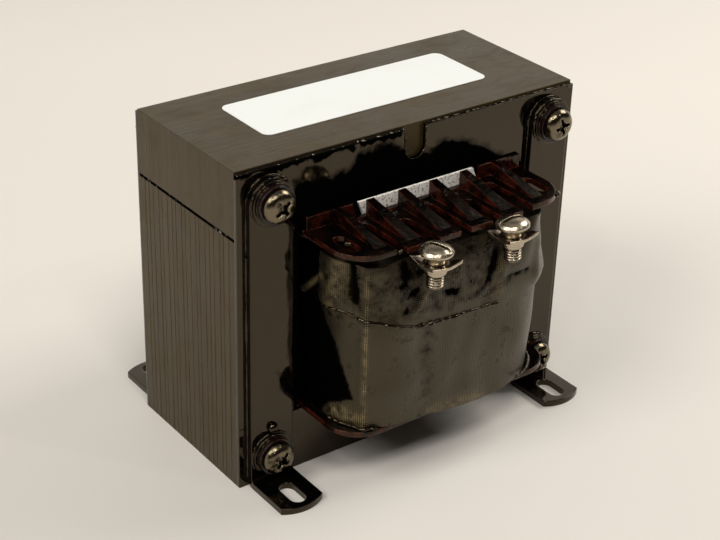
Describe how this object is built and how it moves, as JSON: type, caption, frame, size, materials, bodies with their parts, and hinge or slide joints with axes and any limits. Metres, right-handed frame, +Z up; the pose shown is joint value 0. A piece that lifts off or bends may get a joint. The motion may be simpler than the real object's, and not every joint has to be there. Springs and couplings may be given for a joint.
{
  "type": "dc choke",
  "caption": "Iron-core direct-current choke: laminated core, taped coil on a moulded bobbin with a ribbed terminal board, screw terminals and slotted strap feet.",
  "frame": {"origin": "middle of the footprint of the whole part, on the plane that the feet stand on", "axes": "+X across the core towards the right-hand terminal, -Y towards the terminals, +Z up"},
  "size_m": [0.1142, 0.108, 0.0963],
  "materials": {
    "core_steel": "brown-black dipped varnish over laminated steel, semi-gloss",
    "gap_board": "varnished fibre board",
    "moulding": "dark red-brown moulding under clear varnish",
    "insulating_paper": "white fibre paper with a fine speckle",
    "winding_wire": "enamelled copper wire, layer wound",
    "varnished_tape": "black varnished glass-cloth tape, weave showing in the highlights",
    "black_steel": "gloss black varnish",
    "fibre": "red-brown vulcanised fibre",
    "dark_nickel": "dark nickel plate",
    "bright_nickel": "bright nickel plate",
    "label_film": "satin white label, bare"
  },
  "bodies": {
    "root": {"e_stack": "core_steel", "i_stack": "core_steel", "gap_pad_left": "gap_board", "gap_pad_centre": "gap_board", "gap_pad_right": "gap_board", "keeper_e_front": "core_steel", "keeper_i_front": "core_steel", "keeper_e_rear": "core_steel", "keeper_i_rear": "core_steel", "bolt_sleeves": "fibre", "bobbin": "moulding", "leg_paper_front": "insulating_paper", "leg_paper_rear": "insulating_paper", "winding": "winding_wire", "coil_wrap": "varnished_tape", "coil_band": "varnished_tape", "terminal_lug_left": "bright_nickel", "terminal_lug_right": "bright_nickel", "pressure_plates": "bright_nickel", "terminal_screws": "bright_nickel", "bracket_front_left": "black_steel", "bracket_front_right": "black_steel", "bracket_rear_left": "black_steel", "bracket_rear_right": "black_steel", "flat_washers": "black_steel", "fibre_washers": "fibre", "core_bolts": "dark_nickel", "core_nuts": "dark_nickel", "label": "label_film"}
  },
  "joints": []
}
